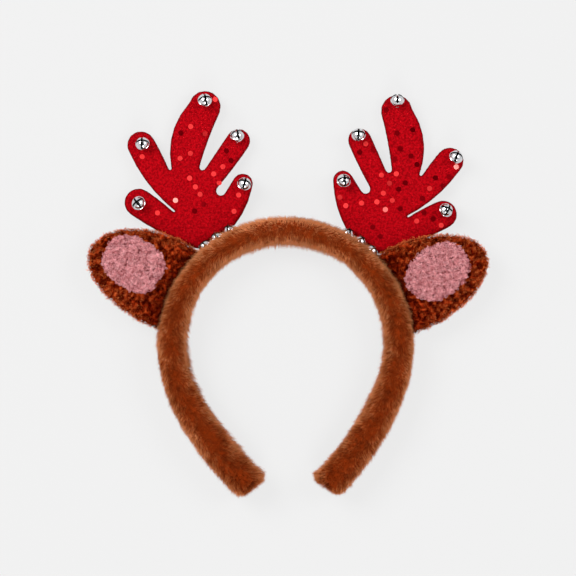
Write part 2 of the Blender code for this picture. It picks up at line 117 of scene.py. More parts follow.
def sleeve(leg, distance, turn):
    """Points on the outside of the pile, their normals, headings and outward shares."""
    length = leg_length(leg)
    past = np.clip((distance - length) / END_ROUNDING, 0, 1)
    full = (1 - past**2) ** (END_FULLNESS / 2)
    line, outward, heading = hoop_line(leg, distance)
    half_width = HOOP_WIDTH / 2 * np.interp(distance / length, WIDTH_PLACES, WIDTH_SHARES)
    half_depth = HOOP_DEPTH / 2
    power = 2 / HOOP_ROUNDNESS
    out = np.copysign(np.abs(np.cos(turn)) ** power, np.cos(turn))
    up = np.copysign(np.abs(np.sin(turn)) ** power, np.sin(turn))
    slope = HOOP_ROUNDNESS - 1
    normal_out = np.copysign(np.abs(out) ** slope, out) / half_width
    normal_up = np.copysign(np.abs(up) ** slope, up) / half_depth
    size = np.hypot(normal_out, normal_up)
    up = np.clip(up / HOOP_FLAT, -1, 1)
    from_seam = np.abs((turn % (2 * np.pi)) - np.pi)
    seam = SEAM_DEPTH * bump(from_seam, 0, SEAM_SPREAD)
    rise = np.array((0, 0, 1.0))
    point = line + (out * half_width + seam)[:, None] * full[:, None] * outward
    point += half_depth * (1 + up * full)[:, None] * rise
    normal = (normal_out / size)[:, None] * outward + (normal_up / size)[:, None] * rise
    normal = unit(normal * np.sqrt(1 - past**2)[:, None] + heading * past[:, None])
    return point, normal, heading, out


def linked(name, data):
    """Object of the data, linked to the scene."""
    item = bpy.data.objects.new(name, data)
    scene.collection.objects.link(item)
    return item


def mark(mesh, name, values):
    """A named number on each point of a mesh, for its material to read."""
    data = mesh.attributes.new(name, "FLOAT", "POINT").data
    data.foreach_set("value", np.asarray(values, dtype=np.float32).ravel())


def mesh_of(name, points, corners, **marks):
    """Mesh from arrays, with its marks."""
    mesh = bpy.data.meshes.new(name)
    mesh.vertices.add(len(points))
    mesh.vertices.foreach_set("co", np.asarray(points, dtype=np.float32).ravel())
    mesh.loops.add(corners.size)
    mesh.loops.foreach_set("vertex_index", corners.astype(np.int32).ravel())
    mesh.polygons.add(len(corners))
    starts = np.arange(0, corners.size, corners.shape[1], dtype=np.int32)
    mesh.polygons.foreach_set("loop_start", starts)
    for label, values in marks.items():
        mark(mesh, label, values)
    mesh.update(calc_edges=True)
    mesh.validate()
    mesh.shade_smooth()
    return mesh


def put(name, mesh, material, slot, *nodes):
    """A piece of the headband, standing for the solids named."""
    item = linked(name, mesh)
    mesh.materials.clear()
    mesh.materials.append(material)
    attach(item, "root")
    if nodes:
        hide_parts(*nodes)
    return item


def set_inputs(shader, sockets):
    """Inputs of a shader node set by name, with underscores for spaces."""
    for name, value in sockets.items():
        shader.inputs[name.replace("_", " ")].default_value = value


def node(tree, kind, **sockets):
    """New shader node with some of its inputs set by name."""
    made = tree.nodes.new(kind)
    set_inputs(made, sockets)
    return made


def plain(name, **sockets):
    """Material of one surface shader, with some of its inputs set by name."""
    material = bpy.data.materials.new(name)
    material.use_nodes = True
    set_inputs(material.node_tree.nodes["Principled BSDF"], sockets)
    return material


def ramp_of(tree, stops):
    """Colour ramp with stops of a place and a colour each."""
    ramp = tree.nodes.new("ShaderNodeValToRGB")
    while len(ramp.color_ramp.elements) < len(stops):
        ramp.color_ramp.elements.new(1)
    for element, (place, colour) in zip(ramp.color_ramp.elements, stops):
        element.position = place
        element.color = (*colour, 1)
    return ramp


def mottle_group():
    """Node group of soft patches over a surface, from 0 to 1."""
    tree = bpy.data.node_groups.new("mottle", "ShaderNodeTree")
    size = tree.interface.new_socket("Size", in_out="INPUT", socket_type="NodeSocketFloat")
    size.default_value = 100
    low = tree.interface.new_socket("Low", in_out="INPUT", socket_type="NodeSocketFloat")
    high = tree.interface.new_socket("High", in_out="INPUT", socket_type="NodeSocketFloat")
    low.default_value, high.default_value = 0.35, 0.65
    tree.interface.new_socket("Mask", in_out="OUTPUT", socket_type="NodeSocketFloat")
    enter = tree.nodes.new("NodeGroupInput")
    leave = tree.nodes.new("NodeGroupOutput")
    place = tree.nodes.new("ShaderNodeTexCoord")
    patches = node(tree, "ShaderNodeTexNoise", Detail=3, Roughness=0.6)
    spread = tree.nodes.new("ShaderNodeMapRange")
    tree.links.new(place.outputs["Object"], patches.inputs["Vector"])
    tree.links.new(enter.outputs["Size"], patches.inputs["Scale"])
    tree.links.new(patches.outputs["Fac"], spread.inputs["Value"])
    tree.links.new(enter.outputs["Low"], spread.inputs["From Min"])
    tree.links.new(enter.outputs["High"], spread.inputs["From Max"])
    tree.links.new(spread.outputs["Result"], leave.inputs["Mask"])
    return tree


MOTTLE = mottle_group()


def cloth(name, stops, label, size, depth, low=0.3, high=0.7, through=0, **sockets):
    """Cloth whose colour runs along a mark on its points, darkened in soft patches.

    A mark that a mesh doesn't have reads as 0. Through is the share of the light that
    passes the cloth's thin fibres.
    """
    material = plain(name, **sockets)
    tree = material.node_tree
    surface = tree.nodes["Principled BSDF"]
    reading = tree.nodes.new("ShaderNodeAttribute")
    reading.attribute_name = label
    ramp = ramp_of(tree, stops)
    patches = tree.nodes.new("ShaderNodeGroup")
    patches.node_tree = MOTTLE
    set_inputs(patches, {"Size": size, "Low": low, "High": high})
    shade = node(tree, "ShaderNodeMapRange", To_Min=1 - depth, To_Max=1)
    darken = tree.nodes.new("ShaderNodeMix")
    darken.data_type = "RGBA"
    darken.blend_type = "MULTIPLY"
    darken.inputs["Factor"].default_value = 1
    tree.links.new(reading.outputs["Fac"], ramp.inputs["Fac"])
    tree.links.new(patches.outputs["Mask"], shade.inputs["Value"])
    tree.links.new(ramp.outputs["Color"], darken.inputs["A"])
    tree.links.new(shade.outputs["Result"], darken.inputs["B"])
    tree.links.new(darken.outputs["Result"], surface.inputs["Base Color"])
    if through:
        glow = tree.nodes.new("ShaderNodeBsdfTranslucent")
        blend = node(tree, "ShaderNodeMixShader", Fac=through)
        tree.links.new(darken.outputs["Result"], glow.inputs["Color"])
        tree.links.new(surface.outputs["BSDF"], blend.inputs[1])
        tree.links.new(glow.outputs["BSDF"], blend.inputs[2])
        output = tree.nodes["Material Output"]
        tree.links.new(blend.outputs["Shader"], output.inputs["Surface"])
    return material


# Bells along the antlers' seats press the sleeve and its pile aside. The backing, the
# roots and the tips of the fibres keep these distances from a bell's centre.
BELL_RADIUS = 0.0038
BACKING_FROM_BELL = 0.0043
ROOT_FROM_BELL = 0.0042
TIP_FROM_BELL = 0.0040
BASE_BELL_NODES = [f"bell_{side}_base_{k}" for side in ("left", "right") for k in (1, 2, 3)]


def base_bell_centres():
    """Centres of the bells along the seats, whose shanks lean in and down."""
    centres = []
    for name in BASE_BELL_NODES:
        low, high = (np.array(corner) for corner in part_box(name))
        out = (low + high) / 2 - HOOP_MIDDLE
        reach = np.where(out > 0, high - BELL_RADIUS, low + BELL_RADIUS)
        reach[2] = high[2] - BELL_RADIUS
        centres.append(reach)
    return np.array(centres)


BASE_BELLS = base_bell_centres()


def beside_bells(points, radius):
    """The points, moved out of the balls of the bells along the seats."""
    for centre in BASE_BELLS:
        away = points - centre
        distance = np.linalg.norm(away, axis=1, keepdims=True)
        inside = distance < radius
        points = np.where(inside, centre + away / distance * radius, points)
    return points


def backing_mesh():
    """Closed tube of the sleeve's backing, from one open end to the other."""
    turns = np.arange(BACKING_SIDES) * 2 * np.pi / BACKING_SIDES
    rings = []
    for leg in LEGS:
        end = leg_length(leg) + END_ROUNDING
        stations = np.linspace(0, end, round(end / BACKING_STEP))[:-1]
        stations = np.append(stations, end - np.array(BACKING_ENDS))
        if leg.side < 0:
            stations = stations[:0:-1]
        for station in stations:
            point, normal, _, _ = sleeve(leg, np.full(BACKING_SIDES, station), turns)
            rings.append(beside_bells(point - normal * BACKING_DEPTH, BACKING_FROM_BELL))
    points = np.concatenate(rings)
    count = len(rings)
    ring, k = np.meshgrid(np.arange(count - 1), np.arange(BACKING_SIDES), indexing="ij")
    after = (k + 1) % BACKING_SIDES
    low, high = ring * BACKING_SIDES, (ring + 1) * BACKING_SIDES
    quads = np.stack([low + k, low + after, high + after, high + k], axis=-1).reshape(-1, 4)
    mesh = mesh_of("backing", points, quads)
    bm = bmesh.new()
    bm.from_mesh(mesh)
    bmesh.ops.holes_fill(bm, edges=[e for e in bm.edges if e.is_boundary], sides=0)
    bmesh.ops.recalc_face_normals(bm, faces=bm.faces)
    bm.to_mesh(mesh)
    bm.free()
    return mesh


backing = cloth(
    "plush_backing",
    [(0, (0.20, 0.024, 0.003))],
    "along",
    size=400,
    depth=0.5,
    Roughness=1.0,
    Specular_IOR_Level=0.0,
)
hoop_backing = put("hoop_backing", backing_mesh(), backing, "fur", "fur_band")

# The pile: fine fibres, brushed out from the middle of the hoop towards its edges and
# along it to the open ends. They cling in small tufts, dark at the root and light at the
# tip. Their tone is painted darker along the hoop's middle, as painted shade where one
# looks down into the pile, and lighter at its rims, as painted light where the fibres
# stand side on against the bright floor.
FIBRES = 46000
END_FIBRES = 2500
SECTION_STEPS = 721
UNSEEN_TURN = -0.75
UNSEEN_SHARE = 0.5
FIBRE_RADIUS = 0.00011
FIBRE_THICKNESS = (0.7, 1.2)
FIBRE_START = 0.25
FIBRE_SHORTER = 0.30
ROOT_LEVEL = 0.001
TIP_LEVEL_SPREAD = 0.0003
TUFT_SHARE = 0.09
TUFT_PULL = (0.05, 0.60)
TUFT_LOOSEST = 0.4
STRAY_SHARE = 0.10
STRAY_REACH = 0.26

# How the pile is brushed. SWAY and FINE are the two sizes of swirl in it.
BRUSH_OUT = 0.0030
BRUSH_IN = 0.0022
BRUSH_ALONG = 0.0026
BRUSH_START = 0.020
CROWN_REACH = 0.035
SWAY_SIZE = 0.011
SWAY_ASIDE = 0.0020
SWAY_ALONG = 0.0012
SWAY_LENGTH = 0.10
SWAY_MIDDLE = 0.12
SWAY_TONE = 0.14
FINE_SIZE = 0.0035
FINE_ASIDE = 0.0010
FINE_LENGTH = 0.16
FINE_TONE = 0.26

# Tones, as places on the pile's colour ramp, from dark at 0 to pale at 1.
ROOT_TONE = 0.15
TIP_TONE = 0.95
FIBRE_TONE = 0.26
TUFT_TONE = 0.34
# Painted shade along the hoop's middle, and painted light at its rims and over the open ends.
MIDDLE_PAINTED_SHADE = 0.37
RIM_PAINTED_LIGHT = 0.84
RIM_SPREAD = 0.7
CROWN_LIGHT = 0.17
END_DARK = 0.27
END_PAINTED_RIM_LIGHT = 0.8

# The lobe of longer pile below the seam, under the crown and halfway down the left leg,
# and the fold above it where the pile is pressed down. The lobe's fibres are painted
# darker, as painted shade under the pile above it.
LOBE_TURN = 1.16 * math.pi
LOBE_SPREAD = 0.34
LOBE_LENGTH = 0.42
LOBE_PAINTED_SHADE = 0.26
LOBE_PLACE = 0.60
LOBE_REACH = 0.14
CROWN_LOBE = 0.6
CROWN_LOBE_REACH = 0.16
FOLD_TURN = 0.88 * math.pi
FOLD_SPREAD = 0.30
FOLD_DEPTH = 0.22

# Where a rim's pile is shorter, or longer if the amount is below 0. Side and rim are -1
# or 1, the rim at 1 is the outer one, and place and spread are shares of a leg's length.
# At the open ends the pile tapers on the outside and fills out on the inside.
Thinned = namedtuple("Thinned", "side rim place spread amount")
THINNED = (
    Thinned(-1, 1, 0.585, 0.09, 0.26),
    Thinned(1, 1, 0.585, 0.09, 0.26),
    Thinned(-1, -1, 0.63, 0.06, 0.18),
    Thinned(-1, -1, 0.88, 0.09, -0.22),
    Thinned(1, -1, 0.56, 0.10, -0.16),
)
RIM_LENGTH = 0.07
END_TAPER_START = 0.003
END_TAPER_LENGTH = 0.009
END_OUTER_THINNED = 0.45
END_INNER_FULLER = 0.35

FIBRE_TURNS = np.arange(3) * 2 * np.pi / 3
random = np.random.default_rng(20)
noise.seed_set(20)


def even_turns(count):
    """Turns round the section, evenly spread over its edge but sparser underneath."""
    turns = np.linspace(0, 2 * np.pi, SECTION_STEPS)
    point = sleeve(LEGS[1], np.zeros_like(turns), turns)[0]
    steps = np.linalg.norm(np.diff(point, axis=0), axis=1)
    steps *= np.where(np.sin(turns[1:]) > UNSEEN_TURN, 1, UNSEEN_SHARE)
    along = np.concatenate([[0], np.cumsum(steps)])
    return np.interp(random.random(count) * along[-1], along, turns)


def drift(points, size, seed=0.0):
    """Smooth wandering vectors that change over a length of size."""
    return np.array([noise.noise_vector(Vector(p / size) + Vector((seed,) * 3)) for p in points])


def nearest(points, centres):
    """Index of the nearest centre to each point."""
    tree = KDTree(len(centres))
    for k, centre in enumerate(centres):
        tree.insert(centre, k)
    tree.balance()
    return np.array([tree.find(point)[1] for point in points])


def square_to(line):
    """Two directions square to each line and to each other, turned at random."""
    across = unit(np.cross(line, random.normal(size=line.shape)))
    return across, np.cross(line, across)


def ring_of(middle, radius, across, beside):
    """Three points round each middle."""
    return [
        middle + radius[:, None] * (math.cos(turn) * across + math.sin(turn) * beside)
        for turn in FIBRE_TURNS
    ]


def closed_forms(layers, faces):
    """Points and triangles of many forms alike, from the layers of their points."""
    points = np.stack(layers, axis=1).reshape(-1, 3)
    first = np.arange(len(layers[0]))[:, None] * len(layers)
    corners = [np.concatenate([first + k for k in face], axis=1) for face in faces]
    return points, np.concatenate(corners)


def cones(root, tip, radius):
    """Closed, straight, three-sided fibres that taper from the root to the tip."""
    ring = ring_of(root, radius, *square_to(unit(tip - root)))
    return closed_forms([*ring, tip], ((0, 1, 3), (1, 2, 3), (2, 0, 3), (0, 2, 1)))


def spindles(root, ring, tip):
    """Closed three-sided forms, widest at the ring between their two ends."""
    faces = ((1, 2, 4), (2, 1, 0), (2, 3, 4), (3, 2, 0), (3, 1, 4), (1, 3, 0))
    return closed_forms([root, *ring, tip], faces)


def leg_pile(leg, distance, turn):
    """Roots, normals, tips and tones of the fibres at places on one leg."""
    point, normal, heading, out = sleeve(leg, distance, turn)
    count = len(point)
    share = distance / leg_length(leg)
    sway = drift(point, SWAY_SIZE)
    fine = drift(point, FINE_SIZE, seed=7)
    outward = np.cross(heading, (0, 0, 1.0)) * -leg.side
    at_crown = bump(distance, 0, CROWN_REACH)
    brushed = outward * (BRUSH_OUT * out - BRUSH_IN * at_crown)[:, None]
    along = BRUSH_ALONG * np.tanh(distance / BRUSH_START) + SWAY_ALONG * sway[:, 0]
    brushed += heading * along[:, None] + SWAY_ASIDE * sway + FINE_ASIDE * fine
    brushed -= (brushed * normal).sum(axis=1, keepdims=True) * normal

    lobe_there = bump(share, LOBE_PLACE, LOBE_REACH) * (leg.side < 0)
    lobe_there += CROWN_LOBE * bump(share, 0, CROWN_LOBE_REACH)
    lobe = bump(turn % (2 * np.pi), LOBE_TURN, LOBE_SPREAD) * lobe_there
    fold = bump(turn % (2 * np.pi), FOLD_TURN, FOLD_SPREAD) * lobe_there
    thinned = np.zeros(count)
    for row in THINNED:
        if row.side == leg.side:
            rim = np.clip(row.rim * out, 0, 1)
            thinned += row.amount * rim * bump(share, row.place, row.spread)
    past = distance - leg_length(leg) + END_TAPER_START
    at_end = np.clip(past / END_TAPER_LENGTH, 0, 1)
    outer, inner = np.clip(out, 0, 1), np.clip(-out, 0, 1)
    thinned += at_end * (END_OUTER_THINNED * outer**2 - END_INNER_FULLER * np.sqrt(inner))
    thinned += FOLD_DEPTH * fold
    length = 1.0 + LOBE_LENGTH * lobe + FINE_LENGTH * fine[:, 1] + SWAY_LENGTH * sway[:, 2]
    length += RIM_LENGTH * np.abs(out) ** 3 - thinned

    root = point - normal * PILE_DEPTH
    stray = random.random(count) < STRAY_SHARE
    reach = length * (1 - FIBRE_SHORTER * random.random(count) ** 1.5) + STRAY_REACH * stray
    tip = root + normal * (PILE_DEPTH * reach)[:, None] + brushed * reach[:, None]
    # Painted shade along the middle and painted light at the rims, reaching over the open ends.
    from_middle = np.clip(np.abs(out + SWAY_MIDDLE * sway[:, 1]), END_PAINTED_RIM_LIGHT * at_end, 1)
    tone = RIM_PAINTED_LIGHT * from_middle**RIM_SPREAD - MIDDLE_PAINTED_SHADE
    tone += CROWN_LIGHT * at_crown - END_DARK * share
    # The lobe is darker by painted shade; the fine and sway tones differ at random.
    tone += FINE_TONE * fine[:, 0] + SWAY_TONE * sway[:, 2] - LOBE_PAINTED_SHADE * lobe
    return root, normal, tip, tone


def pile_of(leg, fibre_count, end_count):
    """Pile of one leg and its open end, as points, triangles and tones."""
    length = leg_length(leg)
    distance = random.uniform(0, length, fibre_count)
    turn = even_turns(fibre_count)
    full = np.sqrt(random.random(end_count))
    past = np.sqrt(1 - full ** (2 / END_FULLNESS))
    distance = np.append(distance, length + END_ROUNDING * past)
    turn = np.append(turn, even_turns(end_count))
    root, normal, tip, tone = leg_pile(leg, distance, turn)
    count = len(root)
    tufts = random.choice(count, size=round(count * TUFT_SHARE), replace=False)
    lead = tufts[nearest(root, root[tufts])]
    pull = random.uniform(*TUFT_PULL, count)
    pull *= TUFT_LOOSEST + (1 - TUFT_LOOSEST) * random.random(count)[lead]
    tip += (tip[lead] - tip) * pull[:, None]
    root += normal * (FIBRE_START * PILE_DEPTH)
    root = beside_bells(root, ROOT_FROM_BELL)
    tip = beside_bells(tip, TIP_FROM_BELL)
    tip[:, 2] = np.maximum(tip[:, 2], FLOOR_GAP + TIP_LEVEL_SPREAD * random.random(count))
    root[:, 2] = np.maximum(root[:, 2], ROOT_LEVEL)
    own = random.random(count) * FIBRE_TONE - FIBRE_TONE / 2
    own += (random.random(count)[lead] - 0.5) * TUFT_TONE
    own += tone
    along = np.stack([ROOT_TONE + own] * 3 + [TIP_TONE + own], axis=1).ravel()
    thick = FIBRE_RADIUS * random.uniform(*FIBRE_THICKNESS, count)
    points, corners = cones(root, tip, thick)
    return points, corners, along


plush = cloth(
    "plush_pile",
    [
        (0.00, (0.16, 0.020, 0.004)),
        (0.35, (0.36, 0.070, 0.015)),
        (0.70, (0.62, 0.165, 0.045)),
        (1.00, (0.92, 0.390, 0.160)),
    ],
    "along",
    size=200,
    depth=0.26,
    through=0.45,
    Roughness=0.9,
    Specular_IOR_Level=0.0,
)
for leg, name in zip(LEGS, ("left", "right")):
    points, corners, along = pile_of(leg, FIBRES, END_FIBRES)
    put(f"pile_{name}", mesh_of("pile", points, corners, along=along), plush, "fur", "fur_band")

# The antlers: foam cut to a five-tined shape and covered in red glitter cloth, glued at
# the edge, so that the faces are softly crowned. The cloth is painted darker where it turns
# away from facing up, as painted shade that draws the edge as a thin dark line.
ANTLER_MESH_STEP = 0.0008
ANTLER_SMOOTHING = 6
COVER_LIFT = 0.0004
GRAIN_SIZE = 0.0012
GRAIN_HEIGHT = 0.00008
SIDE_SHADE_CONTRAST = 1.4
SIDE_SHADE_START = 0.2
FLAKES = 4200
FLAKE_SIZE = 0.00030
FLAKE_SPREAD = (0.7, 1.3)
FLAKE_THICKNESS = 0.00008
FLAKE_LIFT = 0.00006
FLAKE_TILT = 0.28


def applied(item):
    """The object's mesh with its modifiers applied. The object itself is removed."""
    graph = bpy.context.evaluated_depsgraph_get()
    made = bpy.data.meshes.new_from_object(item.evaluated_get(graph))
    bpy.data.objects.remove(item)
    return made


def even_copy(node_name, step, smoothing):
    """A node's solid as an even, softened mesh."""
    item = linked("copy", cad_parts[node_name].data.copy())
    remesh = item.modifiers.new("even", "REMESH")
    remesh.mode = "VOXEL"
    remesh.voxel_size = step
    soften = item.modifiers.new("soften", "SMOOTH")
    soften.iterations = smoothing
    soften.factor = 0.5
    bpy.context.view_layer.update()
    return applied(item)


def places(mesh):
    """Points and normals of a mesh's vertices."""
    points = np.empty(len(mesh.vertices) * 3, dtype=np.float32)
    normals = np.empty_like(points)
    mesh.vertices.foreach_get("co", points)
    mesh.vertices.foreach_get("normal", normals)
    return points.reshape(-1, 3).astype(float), normals.reshape(-1, 3).astype(float)


def move(mesh, points):
    """Puts a mesh's vertices at the points."""
    mesh.vertices.foreach_set("co", points.astype(np.float32).ravel())
    mesh.update()


def scatter(mesh, count):
    """Points spread evenly over a mesh, with their normals."""
    mesh.calc_loop_triangles()
    corners = np.empty(len(mesh.loop_triangles) * 3, dtype=np.int32)
    mesh.loop_triangles.foreach_get("vertices", corners)
    corners = corners.reshape(-1, 3)
    points, normals = places(mesh)
    a, b, c = (points[corners[:, k]] for k in range(3))
    area = np.linalg.norm(np.cross(b - a, c - a), axis=1)
    chosen = random.choice(len(corners), size=count, p=area / area.sum())
    weights = random.dirichlet((1, 1, 1), count)
    picked = corners[chosen]
    where = (points[picked] * weights[:, :, None]).sum(axis=1)
    facing = unit((normals[picked] * weights[:, :, None]).sum(axis=1))
    return where, facing


# The cloth's ramp runs from painted shade on the steep sides at 0 to the upward faces at 1.
glitter_cloth = cloth(
    "glitter_cloth",
    [
        (0.0, (0.05, 0.000, 0.002)),
        (0.5, (0.26, 0.0012, 0.0036)),
        (1.0, (0.315, 0.0016, 0.0045)),
    ],
    "face",
    size=800,
    depth=0.50,
    low=0.38,
    high=0.60,
    Roughness=0.6,
    Specular_IOR_Level=0.0,
)
flake_red = plain(
    "glitter_flakes", Base_Color=(0.40, 0.005, 0.009, 1), Metallic=1.0, Roughness=0.35
)


def flakes(where, facing):
    """Thin closed flakes, tilted from the surface: a triangle with a low peak each side."""
    facing = unit(facing + random.normal(scale=FLAKE_TILT, size=facing.shape))
    across, beside = square_to(facing)
    reach = FLAKE_SIZE * random.uniform(*FLAKE_SPREAD, len(where))
    peak = facing * FLAKE_THICKNESS / 2
    return spindles(where - peak, ring_of(where, reach, across, beside), where + peak)


antlers = {}
for side in ("left", "right"):
    form = even_copy(f"antler_{side}", ANTLER_MESH_STEP, ANTLER_SMOOTHING)
    points, normals = places(form)
    points += normals * COVER_LIFT
    points += drift(points, GRAIN_SIZE)[:, :1] * normals * GRAIN_HEIGHT
    move(form, points)
    # Painted shade: darker where the cloth turns away from facing up, so the edge reads as a thin
    # dark line.
    mark(form, "face", np.clip(np.abs(normals[:, 2]) * SIDE_SHADE_CONTRAST - SIDE_SHADE_START, 0, 1))
    antlers[side] = put(f"antler_cover_{side}", form, glitter_cloth, "red_cloth", f"antler_{side}")
    form.shade_smooth()
    where, facing = scatter(form, FLAKES)
    flake_mesh = mesh_of("flakes", *flakes(where + facing * FLAKE_LIFT, facing))
    flake_mesh.shade_flat()
    put(f"glitter_{side}", flake_mesh, flake_red, "red_cloth")

# The sequins: flat round discs of red foil, scattered over the glitter cloth and glued
# down at slightly different tilts. Which ones catch the light and which look dark is
# painted into the foil's colour, as painted highlights and painted dark reflections. Each
# place counts steps of SEQUIN_GRID across and down from an antler's corner.
SEQUIN_RADIUS = 0.00148
SEQUIN_THICKNESS = 0.00015
SEQUIN_DOME = 1.6
SEQUIN_SIDES = 14
SEQUIN_SHARP = 30
SEQUIN_GRID = 0.0000873
SEQUIN_ASIDE = (0.3, 1.0, 0.1)
SEQUIN_GAP = 0.00012
SEQUIN_LEAN = 0.5
SEQUIN_TILT = 0.06
# Levels of painted highlight and painted dark reflection for each kind of sequin.
WHITE_PAINTED_GLINT = 1.0
BRIGHT_PAINTED_GLINT = 0.60
DARK_PAINTED_REFLECTION = 0.12
PAINTED_GLINT_SPREAD = 0.08
ABOVE_ANTLERS = 0.05
Sequins = namedtuple("Sequins", "side corner white bright dark")
SEQUINS = (
    Sequins(
        "left",
        (-0.1171, 0.0862),
        ((622, 785),),
        (
            (722, 303), (815, 350), (720, 478), (652, 510), (405, 500), (715, 640),
            (752, 697), (783, 745), (505, 867), (872, 612), (932, 565),
            (908, 670), (1005, 857), (1035, 750), (880, 125),
        ),
        ((657, 345), (955, 460), (748, 855), (985, 525), (805, 810)),
    ),
    Sequins(
        "right",
        (-0.0145, 0.0862),
        ((1281, 566),),
        (
            (793, 620), (890, 612), (845, 673), (805, 738), (763, 795), (663, 803),
            (560, 820), (863, 785), (818, 845), (1107, 707), (1023, 920), (1183, 948),
            (690, 415), (520, 765),
        ),
        (
            (823, 195), (895, 345), (997, 325), (915, 448), (878, 515), (1025, 550),
            (985, 495), (650, 470), (740, 455), (948, 670), (905, 712), (1060, 772),
            (915, 840), (1235, 630), (1145, 637), (1195, 690), (1070, 865), (1130, 905),
            (785, 1020), (735, 960),
        ),
    ),
)

# The foil's ramp runs from painted dark reflections at 0 to painted white highlights at 1.
foil = cloth(
    "sequin_foil_painted_glints",
    [
        (0.0, (0.07, 0.000, 0.001)),
        (0.3, (0.18, 0.001, 0.003)),
        (0.7, (0.82, 0.040, 0.040)),
        (1.0, (1.00, 0.330, 0.290)),
    ],
    "bright",
    size=300,
    depth=0.10,
    Roughness=0.30,
    Metallic=0.2,
    Specular_IOR_Level=0.0,
)


def sequin_points(centre, facing):
    """Disc with a slightly raised middle, standing on the cloth."""
    across = unit(np.cross(facing, SEQUIN_ASIDE))
    beside = np.cross(facing, across)
    points = [centre + facing * (SEQUIN_THICKNESS * SEQUIN_DOME)]
    for height in (SEQUIN_THICKNESS, 0):
        for k in range(SEQUIN_SIDES):
            turn = 2 * math.pi * k / SEQUIN_SIDES
            ring = math.cos(turn) * across + math.sin(turn) * beside
            points.append(centre + ring * SEQUIN_RADIUS + facing * height)
    points.append(centre)
    return points


def sequin_corners():
    """Triangles of a disc: its raised top, its flat back and its edge."""
    corners = []
    top, bottom = 0, 1 + 2 * SEQUIN_SIDES
    for k in range(SEQUIN_SIDES):
        after = (k + 1) % SEQUIN_SIDES
        upper, upper_after = 1 + k, 1 + after
        lower, lower_after = upper + SEQUIN_SIDES, upper_after + SEQUIN_SIDES
        corners.append((top, upper, upper_after))
        corners.append((bottom, lower_after, lower))
        corners.append((lower, lower_after, upper_after))
        corners.append((lower, upper_after, upper))
    return np.array(corners)


for row in SEQUINS:
    form = antlers[row.side].data
    surface = BVHTree.FromPolygons(
        [v.co.copy() for v in form.vertices], [tuple(p.vertices) for p in form.polygons]
    )
    points, corners, bright = [], [], []
    kinds = ((WHITE_PAINTED_GLINT, row.white), (BRIGHT_PAINTED_GLINT, row.bright), (DARK_PAINTED_REFLECTION, row.dark))
    for painted_glint, spots in kinds:
        for across, down in spots:
            x = row.corner[0] + SEQUIN_GRID * across
            y = row.corner[1] - SEQUIN_GRID * down
            above = Vector((x, y, ABOVE_ANTLERS))
            hit, facing, _, _ = surface.ray_cast(above, Vector((0, 0, -1)))
            if hit is None:
                continue
            tilt = random.normal(scale=SEQUIN_TILT, size=3)
            lean = SEQUIN_LEAN * np.array(facing) * (1, 1, 0)
            facing = unit(np.array((0, 0, 1.0)) + lean + tilt)
            centre = np.array(hit) + np.array((0, 0, SEQUIN_GAP))
            corners.append(sequin_corners() + len(points))
            disc = sequin_points(centre, facing)
            points += disc
            # Each disc's painted highlight or painted dark reflection, a little different on each.
            tone = np.clip(painted_glint + random.normal(scale=PAINTED_GLINT_SPREAD), 0, 1)
            bright += [tone] * len(disc)
    mesh = mesh_of("sequins", np.array(points), np.concatenate(corners), bright=bright)
    mesh.set_sharp_from_angle(angle=math.radians(SEQUIN_SHARP))
    put(f"sequins_{row.side}", mesh, foil, "red_cloth")

# The ears: half ovals of rust brown teddy cloth, sewn right sides together, turned and
# stuffed. The cloth is knotty, with short curls that stand off all round the edge.
EAR_STEP = 0.0011
EAR_SMOOTHING = 4
EAR_SIM_SCALE = 10
EAR_PRESSURE = 4.0
EAR_SWELL = 0.0008
EAR_FRAMES = 12
RIM_SLOPE = 0.5
EAR_INSET = 0.0014

# The end at the hoop is tucked into the fur, and its upper edge dips there. Leans push the
# edge out, or in below 0, towards bearings in degrees from +X, by amounts in metres.
EAR_TUCK = 0.0040
EAR_TUCK_REACH = 0.009
EAR_DIP = {"left": 0.0022, "right": 0.0}
EAR_DIP_REACH = 0.010
EAR_LEANS = {
    "left": ((-120, 0.0013), (75, 0.0006)),
    "right": ((-30, -0.0009), (95, 0.0009)),
}
KNOT_SIZE = 0.0021
KNOT_HEIGHT = 0.0011
KNOT_WANDER = 0.35
KNOT_WANDER_SIZE = 1.3
KNOT_REACH = 0.75
# Painted shade near the hoop and painted light along the ear's edge, in the cover's colour.
EAR_SHADE_REACH = 0.006
HOOP_SHADE = 0.5
COVER_EDGE_PAINTED_LIGHT = 0.9

# The curls: short fibres in tufts. Each bends round its tuft by shares of its reach. Tones
# run from root to tip, with painted shade in the knots' crevices and by the hoop, and painted
# light at the ear's edge.
CURLS = 14000
CURL_TUFTS = 0.09
CURL_LENGTH = 0.0017
CURL_LENGTHS = (0.6, 1.25)
CURL_EDGE_LONGER = 0.35
CURL_RADIUS = 0.00016
CURL_THICKNESS = (0.8, 1.3)
CURL_ROOT = 0.0003
CURL_LOOSE = 0.22
MIDDLE_OUT = 0.50
MIDDLE_ROUND = 0.42
MIDDLE_LOOSE = 0.6
TIP_OUT = 0.62
TIP_ROUND = 0.55
TIP_IN = 0.55
CURL_TONES = (0.10, 0.45, 0.85)
CURL_TONE_SPREAD = 0.24
CURL_TUFT_TONE = 0.2
CREVICE_SHADE_SHARE = 0.8
CREVICE_SHADE_MIDDLE = 0.80
CURL_HOOP_PAINTED_SHADE = 0.52
CURL_EDGE_PAINTED_LIGHT = 1.0


